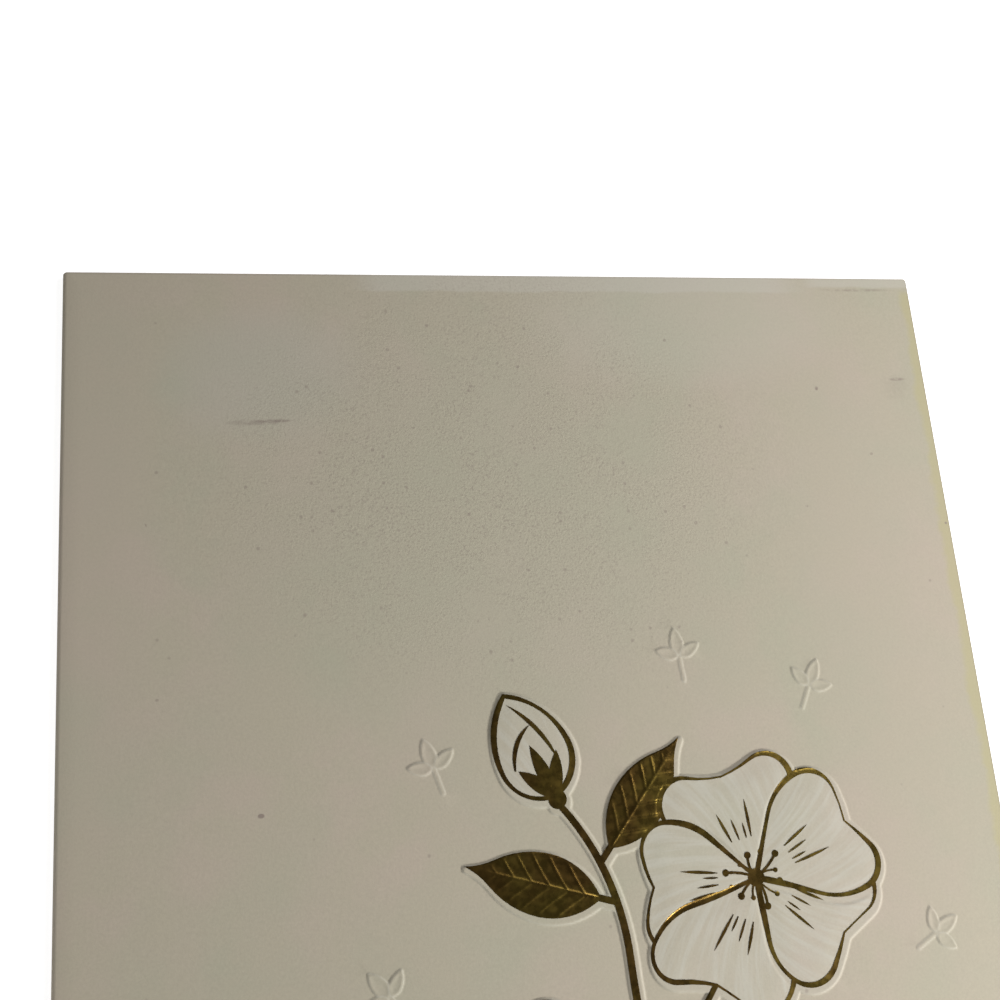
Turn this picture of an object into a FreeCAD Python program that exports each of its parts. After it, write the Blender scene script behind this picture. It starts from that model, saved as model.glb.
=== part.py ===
import FreeCAD
import Part

import math
import os

# A folded greeting card with an embossed, gold-foiled spray of wild roses on its front.
# Millimetres. The closed card lies on its back panel: +X runs from the fold to the opening
# edge, +Y from the foot of the card to its head, +Z out of the front. The origin is the middle
# of the back panel's underside. One sheet of board makes both panels and the fold, and the
# front panel springs open a little. The spray is drawn flat in panel coordinates, u from the
# fold, v up from the foot and w above the front face, and is then laid on the leaning panel.
# Every outline follows a chain of tangent arcs and is drawn as chords along them. Headings turn
# anticlockwise from the card's head.

# The sheet
card_width = 127.0
card_height = 178.0
board_thickness = 0.42
fold_inner_radius = 0.30
gape_angle = 1.0
corner_radius = 0.5

# The embossing, pressed up from inside, so that the inner face is hollow behind it
emboss_rise = 0.16
emboss_bevel = 0.35
pad_margin = 0.30
dome_rise = 0.14
dome_slope = 1.6
dome_start = 0.30
dome_end = 0.90
dome_half_width = 0.34
root_depth = 0.06

# Chords: degrees of turn to a chord, chords round the end of a line, and sides of a round
chord_turn = 14.0
end_chords = 4
anther_sides = 8
round_sides = 16

# The foil and its pen lines
foil_thickness = 0.05
rib_height = 0.05
line_width = 0.70
vein_width = 0.50
stem_width = 1.15
twig_width = 0.85
filament_width = 0.36
anther_radius = 0.48

# The two open roses: centre from the opening edge and from the foot, petal length and turn
upper_rose_from_edge = 38.5
upper_rose_from_foot = 91.0
upper_rose_petal = 16.3
upper_rose_turn = 12.0
lower_rose_from_edge = 66.5
lower_rose_from_foot = 61.0
lower_rose_petal = 18.6
lower_rose_turn = -16.0
petal_half_width = 0.60
rose_foreshortening = 0.88
eye_radius = 0.14
button_radius = 0.055
filament_count = 6
short_filament = 0.21
long_filament = 0.27

# The buds: foot of each from the opening edge and from the card's foot, length and heading
upper_bud_from_edge = 65.0
upper_bud_from_foot = 104.0
upper_bud_length = 14.5
upper_bud_turn = 24.0
side_bud_from_edge = 29.0
side_bud_from_foot = 60.5
side_bud_length = 10.5
side_bud_turn = -48.0
bud_half_width = 0.34
hip_drop = 0.12
hip_radius = 0.085
sepal_length = 0.52
sepal_half_width = 0.075

# The leaves
leaf_length = 18.5
leaf_half_width = 3.9
stalk_length = 2.2

# The right side of each form from its foot to its tip, as shares of its half width and its
# length, and which of the points is the widest, where the side runs along the form's axis
petal_side = [(0.0, 0.0), (0.70, 0.40), (1.0, 0.80), (0.50, 1.03), (0.0, 0.95)]
petal_widest = 2
leaf_side = [(0.0, 0.0), (1.0, 0.42), (0.42, 0.80), (0.0, 1.0)]
leaf_widest = 1
egg_side = [(0.0, 0.0), (1.0, 0.38), (0.0, 1.0)]
egg_widest = 1

# How the five petals of a rose differ: swing in degrees and share of the petal length
petal_swing = [0.0, 5.0, -3.0, 3.0, -4.0]
petal_reach = [1.00, 0.93, 1.03, 0.96, 1.00]

# A petal's veins: how far each fans out, and its share of the petal length
petal_veins = [(-0.75, 0.62), (0.55, 0.68)]

# The main stem from its cut end, as points from the opening edge and from the foot; it ends at
# the upper bud
stem_route = [(45.0, 21.0), (51.5, 54.0), (57.0, 83.0)]
stem_heading = 3.0

# What grows from the stem, and how high above the card's foot: the twigs to the lower rose and
# the side bud, the twig to the upper rose, and the leaves, each with its heading and its share
# of the leaf length
lower_fork_height = 54.0
upper_fork_height = 68.5
leaf_places = [
    (90.0, 72.0, 1.00),
    (95.0, -40.0, 0.94),
    (41.0, -68.0, 1.05),
    (34.0, 98.0, 0.98),
    (27.0, -104.0, 0.86),
]

up = FreeCAD.Vector(0, 0, 1)
line_half = line_width / 2
gape = math.radians(gape_angle)
fold_outer_radius = fold_inner_radius + board_thickness
panel_length = card_width - fold_outer_radius


def from_edge(distance, height):
    return FreeCAD.Vector(card_width - distance, height, 0)


def heading(degrees):
    angle = math.radians(degrees)
    return FreeCAD.Vector(-math.sin(angle), math.cos(angle), 0)


def rightwards(direction):
    return FreeCAD.Vector(direction.y, -direction.x, 0)


def unit(vector):
    return vector * (1 / vector.Length)


def mirrored_in(direction, chord):
    # an arc's tangent at one end, from its tangent at the other
    along = unit(chord)
    return along * (2 * direction.dot(along)) - direction


def tangents_through(points, anchor, direction):
    # tangents of a chain of arcs that passes the anchor point in a given direction
    tangents = [None] * len(points)
    tangents[anchor] = unit(direction)
    for index in range(anchor + 1, len(points)):
        tangents[index] = mirrored_in(tangents[index - 1], points[index] - points[index - 1])
    for index in range(anchor - 1, -1, -1):
        tangents[index] = mirrored_in(tangents[index + 1], points[index + 1] - points[index])
    return tangents


def turn_between(first, second):
    return math.atan2(first.x * second.y - first.y * second.x, first.dot(second))


def turned(vector, angle):
    return FreeCAD.Vector(
        vector.x * math.cos(angle) - vector.y * math.sin(angle),
        vector.x * math.sin(angle) + vector.y * math.cos(angle),
        0,
    )


def arc_points(points, tangents, anchor):
    # ends of the chords along arcs that keep their tangents at the ends nearer to the anchor
    chain = [points[0]]
    for index in range(len(points) - 1):
        chord = points[index + 1] - points[index]
        tangent = tangents[index]
        if index < anchor:
            tangent = mirrored_in(tangents[index + 1], chord)
        bend = turn_between(tangent, chord)
        whole_turn = abs(turn_between(tangents[index], tangents[index + 1]))
        chords = max(1, round(math.degrees(whole_turn) / chord_turn))
        for step in range(1, chords):
            part_bend = bend * step / chords
            reach = chord.Length * math.sin(part_bend) / math.sin(bend)
            chain.append(points[index] + turned(tangent, part_bend) * reach)
        chain.append(points[index + 1])
    return chain


def raised(shape, w):
    shape.translate(up * w)
    return shape


def polygon(points, w):
    return raised(Part.makePolygon(points + points[:1]), w)


def round_wire(centre, radius, sides, w=0.0):
    return polygon([centre + heading(360.0 * index / sides) * radius for index in range(sides)], w)


def round_end(centre, direction, radius):
    # the points between the two sides of a line, round its end
    turns = [math.pi * (step / end_chords - 0.5) for step in range(1, end_chords)]
    return [centre + turned(direction, turn) * radius for turn in turns]


def form_wire(form, spread, w=0.0):
    # two-sided outline of a petal, leaf, bud or sepal, moved outwards by spread
    axis = heading(form["turn"])
    squash = form.get("foreshortening", 1.0)
    middle = FreeCAD.Vector(axis.x, axis.y * squash, 0)
    sides = []
    for hand in (1, -1):
        points = []
        for across, along in form["side"]:
            point = axis * (along * form["length"])
            point += rightwards(axis) * (hand * across * form["half_width"])
            points.append(form["foot"] + FreeCAD.Vector(point.x, point.y * squash, 0))
        tangents = tangents_through(points, form["widest"], middle)
        outwards = [rightwards(tangent) * hand for tangent in tangents]
        sides.append((points, tangents, outwards))
    chains = []
    for points, tangents, outwards in sides:
        moved = [point + outward * spread for point, outward in zip(points, outwards)]
        for end in (0, -1):
            # the two sides meet at a mitred corner
            first = sides[0][2][end]
            second = sides[1][2][end]
            mitre = (first + second) * (1 / max(1 + first.dot(second), 0.25))
            moved[end] = points[end] + mitre * spread
        chains.append(arc_points(moved, tangents, form["widest"]))
    right, left = chains
    return polygon(right + left[-2:0:-1], w)


def stroke_wire(stroke, spread, w=0.0):
    # pen stroke along a chain of arcs, with its width given at each point; it starts round or
    # cut straight, and ends round, or in a point where it has no width
    path = stroke["path"]
    tangents = tangents_through(path, stroke["anchor"], stroke["direction"])
    widths = [half_width + spread for half_width in stroke["half_widths"]]
    sides = []
    for hand in (1, -1):
        moved = []
        for point, tangent, half_width in zip(path, tangents, widths):
            moved.append(point + rightwards(tangent) * (hand * half_width))
        sides.append(arc_points(moved, tangents, stroke["anchor"]))
    right, left = sides
    chain = right
    if widths[-1] > 0:
        chain += round_end(path[-1], tangents[-1], widths[-1]) + left[-1:]
    chain += left[-2::-1]
    if stroke["round_start"]:
        chain += round_end(path[0], tangents[0] * -1, widths[0])
    return polygon(chain, w)


def bowed_stroke(start, middle, end, half_widths, round_start=False):
    return {
        "path": [start, middle, end],
        "half_widths": half_widths,
        "anchor": 1,
        "direction": end - start,
        "round_start": round_start,
    }


def area(wire):
    return Part.Face(wire)


def pad(outline, reach, bevel, rise):
    # outline(spread, w) gives the edge; the pad has a sloped side and a root in the board
    foot = reach + bevel
    return Part.makeLoft(
        [outline(foot, -root_depth), outline(foot, 0.0), outline(reach, rise)], True, True
    )


def motif(cover, ink, pads, rib=None):
    # one drawn thing: the outline that hides what lies behind, its foil lines, what it raises
    # and a leaf's rib
    return {"cover": cover, "ink": ink, "pads": pads, "rib": rib}


def form_outline(form):
    return lambda spread, w=0.0: form_wire(form, spread, w)


def stroke_outline(stroke):
    return lambda spread, w=0.0: stroke_wire(stroke, spread, w)


def form_ring(form):
    return area(form_wire(form, line_half)).cut(area(form_wire(form, -line_half)))


def vein_stroke(form, fan, reach):
    axis = heading(form["turn"])
    points = []
    for along, across in ((0.20, 0.03), (0.60, 0.15), (1.0, 0.34)):
        point = axis * (along * reach * form["length"])
        point += rightwards(axis) * (fan * across * form["half_width"])
        points.append(form["foot"] + FreeCAD.Vector(point.x, point.y * form["foreshortening"], 0))
    return bowed_stroke(*points, [vein_width / 2, vein_width / 2, 0.0])


def petal_motif(centre, length, turn):
    petal = {
        "foot": centre,
        "turn": turn,
        "length": length,
        "half_width": petal_half_width * length,
        "side": petal_side,
        "widest": petal_widest,
        "foreshortening": rose_foreshortening,
    }
    outline = form_outline(petal)
    ink = [form_ring(petal)]
    ink += [area(stroke_wire(vein_stroke(petal, fan, reach), 0.0)) for fan, reach in petal_veins]
    raising = pad(outline, line_half + pad_margin, emboss_bevel, emboss_rise)
    return motif(outline(line_half), ink, [raising, petal_dome(petal)])


def petal_dome(petal):
    # the soft swell inside the petal's outline, clear of its neighbours
    axis = heading(petal["turn"])
    start = axis * (dome_start * petal["length"])
    swell = {
        "foot": petal["foot"] + FreeCAD.Vector(start.x, start.y * rose_foreshortening, 0),
        "turn": petal["turn"],
        "length": (dome_end - dome_start) * petal["length"],
        "half_width": dome_half_width * petal["length"],
        "side": egg_side,
        "widest": egg_widest,
        "foreshortening": rose_foreshortening,
    }
    sections = [
        form_wire(swell, 0.0, emboss_rise),
        form_wire(swell, -dome_slope, emboss_rise + dome_rise),
    ]
    return Part.makeLoft(sections, True, True)


def eye_motif(centre, length):
    # the rose's eye: a button with a ring of filaments, each ending in an anther
    ink = [area(round_wire(centre, button_radius * length, round_sides))]
    for index in range(filament_count):
        direction = heading(360.0 * (index + 0.25) / filament_count)
        direction.y *= rose_foreshortening
        reach = length * (long_filament if index % 2 else short_filament)
        end = centre + direction * reach
        half_width = filament_width / 2
        filament = bowed_stroke(centre, (centre + end) * 0.5, end, [half_width] * 3)
        ink.append(area(stroke_wire(filament, 0.0)))
        ink.append(area(round_wire(end, anther_radius, anther_sides)))
    foot = area(round_wire(centre, long_filament * length, round_sides, -root_depth))
    floor = foot.extrude(up * (emboss_rise + root_depth))
    return motif(round_wire(centre, eye_radius * length, round_sides), ink, [floor])


def rose_motifs(centre, length, turn):
    motifs = []
    for index in range(5):
        angle = turn + 72.0 * index + petal_swing[index]
        motifs.append(petal_motif(centre, length * petal_reach[index], angle))
    motifs.append(eye_motif(centre, length))
    return motifs


def stroke_motif(stroke):
    outline = stroke_outline(stroke)
    return motif(None, [area(outline(0.0))], [pad(outline, pad_margin, emboss_bevel, emboss_rise)])


def stem_stroke(path):
    return {
        "path": path,
        "half_widths": [stem_width / 2] * (len(path) - 1) + [twig_width / 2],
        "anchor": 0,
        "direction": heading(stem_heading),
        "round_start": True,
    }


def point_on(stroke, height):
    # the point of a rising stroke's middle line at a height above the card's foot
    path = stroke["path"]
    tangents = tangents_through(path, stroke["anchor"], stroke["direction"])
    line = arc_points(path, tangents, stroke["anchor"])
    index = max(index for index, point in enumerate(line[:-1]) if point.y <= height)
    start = line[index]
    way = line[index + 1] - start
    return start + way * ((height - start.y) / way.y)


def twig_motif(start, end):
    # a thin branch that sags a little between the stem and what it carries
    middle = (start + end) * 0.5 + FreeCAD.Vector(0.8, -1.5, 0)
    return stroke_motif(bowed_stroke(start, middle, end, [twig_width / 2] * 3))


def leaf_motif(joint, turn, share):
    foot = joint + heading(turn) * stalk_length
    leaf = {
        "foot": foot,
        "turn": turn,
        "length": leaf_length * share,
        "half_width": leaf_half_width * share,
        "side": leaf_side,
        "widest": leaf_widest,
    }
    far = foot + heading(turn) * stalk_length
    stalk = bowed_stroke(joint, foot, far, [twig_width / 2] * 3)
    rib_end = foot + heading(turn) * (0.84 * leaf["length"])
    rib = bowed_stroke(foot, (foot + rib_end) * 0.5, rib_end, [0.30, 0.20, 0.0])
    outline = form_outline(leaf)
    return motif(
        outline(0.0),
        [area(outline(0.0)), area(stroke_wire(stalk, 0.0))],
        [
            pad(outline, pad_margin, emboss_bevel, emboss_rise),
            pad(stroke_outline(stalk), pad_margin, emboss_bevel, emboss_rise),
        ],
        area(stroke_wire(rib, 0.0)),
    )


def bud_motif(foot, turn, length):
    # an egg-shaped bud with two wrapped petals, three sepals at its foot and its hip below
    axis = heading(turn)
    half_width = bud_half_width * length

    def at(across, along):
        return foot + axis * (along * length) + rightwards(axis) * (across * half_width)

    def egg(start, heading_of_egg, egg_length, egg_half_width):
        return {
            "foot": start,
            "turn": heading_of_egg,
            "length": egg_length,
            "half_width": egg_half_width,
            "side": egg_side,
            "widest": egg_widest,
        }

    shell = egg(foot, turn, length, half_width)
    pen = [line_half, line_half, 0.0]
    wrap = bowed_stroke(at(0.78, 0.16), at(0.42, 0.60), at(-0.12, 0.95), pen)
    fold = bowed_stroke(at(-0.86, 0.26), at(-0.32, 0.50), at(0.44, 0.58), pen)
    ink = [form_ring(shell), area(stroke_wire(wrap, 0.0)), area(stroke_wire(fold, 0.0))]
    for lean in (34.0, -34.0, 0.0):
        sepal = egg(foot, turn + lean, sepal_length * length, sepal_half_width * length)
        ink.append(area(form_wire(sepal, 0.0)))
    hip = at(0.0, -0.04)
    ink.append(area(round_wire(hip, hip_radius * length, round_sides)))
    outline = form_outline(shell)
    return motif(
        outline(line_half),
        ink,
        [
            pad(outline, line_half + pad_margin, emboss_bevel, emboss_rise),
            pad(
                lambda spread, w: round_wire(hip, hip_radius * length + spread, round_sides, w),
                pad_margin,
                emboss_bevel,
                emboss_rise,
            ),
        ],
    )


def spray_motifs():
    # everything that is drawn, from the back to the front
    upper_rose = from_edge(upper_rose_from_edge, upper_rose_from_foot)
    lower_rose = from_edge(lower_rose_from_edge, lower_rose_from_foot)
    upper_bud = from_edge(upper_bud_from_edge, upper_bud_from_foot)
    side_bud = from_edge(side_bud_from_edge, side_bud_from_foot)
    upper_hip = upper_bud - heading(upper_bud_turn) * (hip_drop * upper_bud_length)
    side_hip = side_bud - heading(side_bud_turn) * (hip_drop * side_bud_length)
    route = [from_edge(distance, height) for distance, height in stem_route]

    stem = stem_stroke(route + [upper_hip])
    lower_fork = point_on(stem, lower_fork_height)
    motifs = [stroke_motif(stem)]
    motifs.append(twig_motif(lower_fork, side_hip))
    motifs.append(twig_motif(lower_fork, lower_rose))
    motifs.append(twig_motif(point_on(stem, upper_fork_height), upper_rose))
    for height, turn, share in leaf_places:
        motifs.append(leaf_motif(point_on(stem, height), turn, share))
    motifs.append(bud_motif(upper_bud, upper_bud_turn, upper_bud_length))
    motifs.append(bud_motif(side_bud, side_bud_turn, side_bud_length))
    motifs += rose_motifs(upper_rose, upper_rose_petal, upper_rose_turn)
    motifs += rose_motifs(lower_rose, lower_rose_petal, lower_rose_turn)
    return motifs


def covers_over(motifs, index, shape):
    # the nearer motifs that reach over a shape
    box = shape.BoundBox
    covers = []
    for nearer in motifs[index + 1:]:
        if nearer["cover"] is None:
            continue
        outline = nearer["cover"]
        other = outline.BoundBox
        apart_u = other.XMin > box.XMax or other.XMax < box.XMin
        apart_v = other.YMin > box.YMax or other.YMax < box.YMin
        if not apart_u and not apart_v:
            covers.append(area(outline))
    return covers


def joined(shapes):
    if len(shapes) == 1:
        return shapes[0]
    return shapes[0].multiFuse(shapes[1:])


def inked_area(motifs):
    # each motif's own lines, less what nearer motifs hide, joined into one flat drawing
    visible = []
    for index, drawn in enumerate(motifs):
        marks = joined(drawn["ink"])
        covers = covers_over(motifs, index, marks)
        if covers:
            marks = marks.cut(covers)
        visible += marks.Faces
    return joined(visible).removeSplitter()


def panel_placement():
    # carries panel coordinates to the leaning front panel
    lean = FreeCAD.Rotation(FreeCAD.Vector(0, 1, 0), -gape_angle)
    axis_x = fold_outer_radius - card_width / 2
    fold_axis = FreeCAD.Vector(axis_x, -card_height / 2, fold_outer_radius)
    corner = fold_axis + lean.multVec(FreeCAD.Vector(-fold_outer_radius, 0, fold_outer_radius))
    return FreeCAD.Placement(corner, lean)


def plain_sheet():
    # section across the fold: back panel, round fold, leaning front panel
    axis_x = fold_outer_radius - card_width / 2

    def section(x, z):
        return FreeCAD.Vector(x, -card_height / 2, z)

    def tangent(radius):
        return section(axis_x - radius * math.sin(gape), fold_outer_radius + radius * math.cos(gape))

    lean = FreeCAD.Vector(math.cos(gape), 0, math.sin(gape)) * panel_length
    corners = [
        section(card_width / 2, 0),
        section(axis_x, 0),
        tangent(fold_outer_radius),
        tangent(fold_outer_radius) + lean,
        tangent(fold_inner_radius) + lean,
        tangent(fold_inner_radius),
        section(axis_x, board_thickness),
        section(card_width / 2, board_thickness),
    ]
    outer_side = section(axis_x - fold_outer_radius, fold_outer_radius)
    inner_side = section(axis_x - fold_inner_radius, fold_outer_radius)
    edges = [
        Part.makeLine(corners[0], corners[1]),
        Part.Arc(corners[1], outer_side, corners[2]).toShape(),
        Part.makeLine(corners[2], corners[3]),
        Part.makeLine(corners[3], corners[4]),
        Part.makeLine(corners[4], corners[5]),
        Part.Arc(corners[5], inner_side, corners[6]).toShape(),
        Part.makeLine(corners[6], corners[7]),
        Part.makeLine(corners[7], corners[0]),
    ]
    sheet = area(Part.Wire(edges)).extrude(FreeCAD.Vector(0, card_height, 0))
    return sheet.makeFillet(corner_radius, [edge for edge in sheet.Edges if is_free_corner(edge)])


def is_free_corner(edge):
    # a short edge through the board at the opening edge
    if len(edge.Vertexes) < 2:
        return False
    way = edge.Vertexes[1].Point - edge.Vertexes[0].Point
    through = abs(way.z) > 0.9 * board_thickness and abs(way.y) < 0.1 * board_thickness
    return through and edge.Length < 1.1 * board_thickness and edge.CenterOfMass.x > 0


def folded_card(motifs):
    pads = []
    for drawn in motifs:
        pads += drawn["pads"]
    relief = joined(pads).removeSplitter()
    hollow = relief.copy()
    hollow.translate(up * -board_thickness)
    # the sheet is turned so that its front panel lies flat, worked on and turned back
    sheet = plain_sheet()
    sheet.Placement = panel_placement().inverse()
    sheet = sheet.fuse(relief).cut(hollow).removeSplitter()
    sheet.Placement = panel_placement()
    return sheet


def gold_foil_print(motifs):
    foil = inked_area(motifs).extrude(up * foil_thickness)
    rib_top = up * (foil_thickness + rib_height)
    ribs = [drawn["rib"].extrude(rib_top) for drawn in motifs if drawn["rib"]]
    foil = joined(foil.Solids + ribs).removeSplitter()
    foil.translate(up * emboss_rise)
    foil.Placement = panel_placement().multiply(foil.Placement)
    return foil


def main():
    motifs = spray_motifs()
    pieces = {"folded_card": folded_card(motifs), "gold_foil_print": gold_foil_print(motifs)}
    os.makedirs("parts", exist_ok=True)
    for name, shape in pieces.items():
        shape.exportStep(os.path.join("parts", name + ".step"))
        print(name, len(shape.Solids), "solids", round(shape.Volume, 2), "mm3", shape.isValid())


main()
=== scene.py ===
import math
import bpy
import numpy as np
from mathutils.geometry import delaunay_2d_cdt
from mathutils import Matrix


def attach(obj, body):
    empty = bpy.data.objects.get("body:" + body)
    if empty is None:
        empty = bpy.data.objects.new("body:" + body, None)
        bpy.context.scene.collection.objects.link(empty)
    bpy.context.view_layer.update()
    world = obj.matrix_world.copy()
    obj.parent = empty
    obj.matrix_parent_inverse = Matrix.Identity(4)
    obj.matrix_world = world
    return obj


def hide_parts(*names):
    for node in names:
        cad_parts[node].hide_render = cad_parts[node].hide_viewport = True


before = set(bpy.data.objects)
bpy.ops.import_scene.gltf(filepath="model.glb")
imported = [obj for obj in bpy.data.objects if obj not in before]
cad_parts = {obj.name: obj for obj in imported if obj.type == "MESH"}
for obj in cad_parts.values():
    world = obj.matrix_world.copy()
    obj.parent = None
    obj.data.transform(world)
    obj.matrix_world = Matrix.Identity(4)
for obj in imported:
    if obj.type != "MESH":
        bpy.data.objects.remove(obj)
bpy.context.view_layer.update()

# A folded greeting card, ivory board with an embossed spray of wild roses drawn in gold foil.
# Lengths are written in millimetres and scaled to metres when a mesh is made. The spray is
# drawn flat in panel coordinates, u from the folded edge and v from the foot of the card.
mm = 0.001

sheet = {
    "width": 127.0,
    "height": 178.0,
    "board": 0.42,
    "foldRadius": 0.72,  # outside of the fold
    "gape": math.radians(1.0),
    "cornerRadius": 0.5,
}
foldLength = sheet["foldRadius"] * (math.pi - sheet["gape"])
panelLength = sheet["width"] - sheet["foldRadius"]


# plane geometry for the drawing

batch = 4000  # points compared with an outline at a time


def fromEdge(distance, height):
    # a place on the panel, by its distance from the opening edge
    return np.array([sheet["width"] - distance, height])


def heading(degrees):
    angle = math.radians(degrees)
    return np.array([-math.sin(angle), math.cos(angle)])


def rightOf(direction):
    return np.array([direction[1], -direction[0]])


def unit(vector):
    return vector / np.linalg.norm(vector)


def turned(vector, angle):
    c, s = math.cos(angle), math.sin(angle)
    return np.array([vector[0] * c - vector[1] * s, vector[0] * s + vector[1] * c])


def turnBetween(first, second):
    return math.atan2(first[0] * second[1] - first[1] * second[0], first @ second)


def mirroredIn(direction, chord):
    along = unit(chord)
    return along * (2 * (direction @ along)) - direction


def tangentsThrough(points, anchor, direction):
    # directions at the points of a chain of tangent arcs, from the one given at the anchor
    tangents = [None] * len(points)
    tangents[anchor] = unit(direction)
    for i in range(anchor + 1, len(points)):
        tangents[i] = mirroredIn(tangents[i - 1], points[i] - points[i - 1])
    for i in range(anchor - 1, -1, -1):
        tangents[i] = mirroredIn(tangents[i + 1], points[i + 1] - points[i])
    return tangents


def arcPoints(points, tangents, anchor, step=6.0, longest=1.5):
    # points along arcs that keep their tangents at the ends nearer to the anchor
    chain = [points[0]]
    for i in range(len(points) - 1):
        chord = points[i + 1] - points[i]
        length = np.linalg.norm(chord)
        tangent = mirroredIn(tangents[i + 1], chord) if i < anchor else tangents[i]
        bend = turnBetween(tangent, chord)
        count = max(2, round(math.degrees(abs(2 * bend)) / step), int(length / longest))
        for k in range(1, count):
            share = k / count
            reach = length * share
            if abs(bend) > 1e-4:
                reach = length * math.sin(bend * share) / math.sin(bend)
            chain.append(points[i] + turned(tangent, bend * share) * reach)
        chain.append(points[i + 1])
    return chain


def roundEnd(centre, direction, radius, count=8):
    return [centre + turned(direction, math.pi * (k / count - 0.5)) * radius for k in range(1, count)]


def roundLoop(centre, radius, count=28):
    return np.array([centre + heading(360.0 * k / count) * radius for k in range(count)])


def formLoop(form):
    # closed outline of a petal, leaf, bud or sepal, anticlockwise from its tip
    axis = heading(form["turn"])
    squash = np.array([1.0, form["foreshortening"]])
    chains = []
    for hand in (1, -1):
        points = []
        for across, along in form["side"]:
            sideways = rightOf(axis) * (hand * across * form["halfWidth"])
            points.append(form["foot"] + (axis * (along * form["length"]) + sideways) * squash)
        tangents = tangentsThrough(points, form["widest"], axis * squash)
        chains.append(arcPoints(points, tangents, form["widest"]))
    return np.array(chains[0][::-1] + chains[1][1:-1])[::-1]


def strokeLoop(stroke):
    # closed outline of a pen stroke along a path, with a half width at each of its points
    path, halfWidths = stroke["path"], stroke["halfWidths"]
    tangents = tangentsThrough(path, stroke["anchor"], stroke["direction"])
    sides = []
    for hand in (1, -1):
        moved = [p + rightOf(t) * (hand * w) for p, t, w in zip(path, tangents, halfWidths)]
        sides.append(arcPoints(moved, tangents, stroke["anchor"]))
    right, left = sides
    chain = list(right)
    if halfWidths[-1] > 0:
        chain += roundEnd(path[-1], tangents[-1], halfWidths[-1]) + [left[-1]]
    chain += left[-2::-1]
    if stroke["roundStart"]:
        chain += roundEnd(path[0], -tangents[0], halfWidths[0])
    return np.array(chain)


def bowedStroke(start, middle, end, halfWidths, roundStart=False):
    return {
        "path": [start, middle, end],
        "halfWidths": halfWidths,
        "anchor": 1,
        "direction": end - start,
        "roundStart": roundStart,
    }


def signedArea(loop):
    nxt = np.roll(loop, -1, axis=0)
    return 0.5 * np.sum(loop[:, 0] * nxt[:, 1] - nxt[:, 0] * loop[:, 1])


def smooth(value):
    value = np.clip(value, 0, 1)
    return value * value * (3 - 2 * value)


def nearLoop(points, loop, margin=0.0):
    # numbers of the points in the box round a loop
    low, high = loop.min(0) - margin, loop.max(0) + margin
    return np.nonzero(np.all((points >= low) & (points <= high), axis=1))[0]


def isInside(points, loop):
    inside = np.zeros(len(points), bool)
    near = nearLoop(points, loop)
    nxt = np.roll(loop, -1, axis=0)
    rise = nxt[:, 1] - loop[:, 1]
    slope = (nxt[:, 0] - loop[:, 0]) / np.where(rise == 0, 1e-12, rise)
    for chunk in np.array_split(near, max(1, len(near) // batch)):
        x, y = points[chunk, 0][:, None], points[chunk, 1][:, None]
        crosses = (loop[:, 1] > y) != (nxt[:, 1] > y)
        at = loop[:, 0] + (y - loop[:, 1]) * slope
        inside[chunk] = np.sum(crosses & (x < at), axis=1) % 2 == 1
    return inside


def depthIn(points, loop):
    # distance to the outline, positive inside
    way = np.roll(loop, -1, axis=0) - loop
    lengths = np.maximum(np.sum(way * way, axis=1), 1e-12)
    distance = np.empty(len(points))
    for chunk in np.array_split(np.arange(len(points)), max(1, len(points) // batch)):
        offset = points[chunk][:, None, :] - loop[None]
        share = np.clip(np.sum(offset * way, axis=2) / lengths, 0, 1)
        gap = offset - share[:, :, None] * way
        distance[chunk] = np.sqrt(np.min(np.sum(gap * gap, axis=2), axis=1))
    return np.where(isInside(points, loop), distance, -distance)


# what every motif of the drawing is made of

pen = {
    "thin": 0.24,  # half widths of an outline, at its thinnest and thickest
    "thick": 0.42,
    "half": 0.35,  # half width that the raised pads allow for
    "tipShare": 0.35,  # what a petal's outline keeps of its width at the notch of its tip
    "stem": 0.575,
    "twig": 0.425,
}
emboss = {
    "rise": 0.21,
    "bevel": 0.30,
    "margin": 0.30,  # width of the raised border round the foil
    "shift": np.array([0.22, -0.42]),  # the pressing sits a little beside the foil
}
eggSide = [(0.0, 0.0), (1.0, 0.38), (0.0, 1.0)]


def makeForm(kind, foot, turn, length, halfWidth, side, widest, foreshortening=1.0, order=0):
    # side holds the points of one side, across and along, and widest says which of them has its
    # tangent lengthways
    return {
        "kind": kind,
        "foot": foot,
        "turn": turn,
        "length": length,
        "halfWidth": halfWidth,
        "side": side,
        "widest": widest,
        "foreshortening": foreshortening,
        "order": order,
    }


def pad(loop, reach, swell, swellWidth, rise=emboss["rise"], bevel=emboss["bevel"], form=None):
    # a raised pad that reaches past its loop, and swells towards its middle
    return {
        "loop": loop,
        "reach": reach,
        "swell": swell,
        "swellWidth": swellWidth,
        "rise": rise,
        "bevel": bevel,
        "form": form,
    }


def flatPad(loop, reach=emboss["margin"]):
    return pad(loop, reach, 0.0, 1.0)


def motif(cover, ink, pads):
    # ink holds pairs of an outer and an inner edge, and the cover hides all ink behind it
    return {"cover": cover, "ink": ink, "pads": pads}


def inked(loop):
    return (loop, None)


def strokeMotif(stroke):
    loop = strokeLoop(stroke)
    return motif(None, [inked(loop)], [flatPad(loop)])


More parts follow.
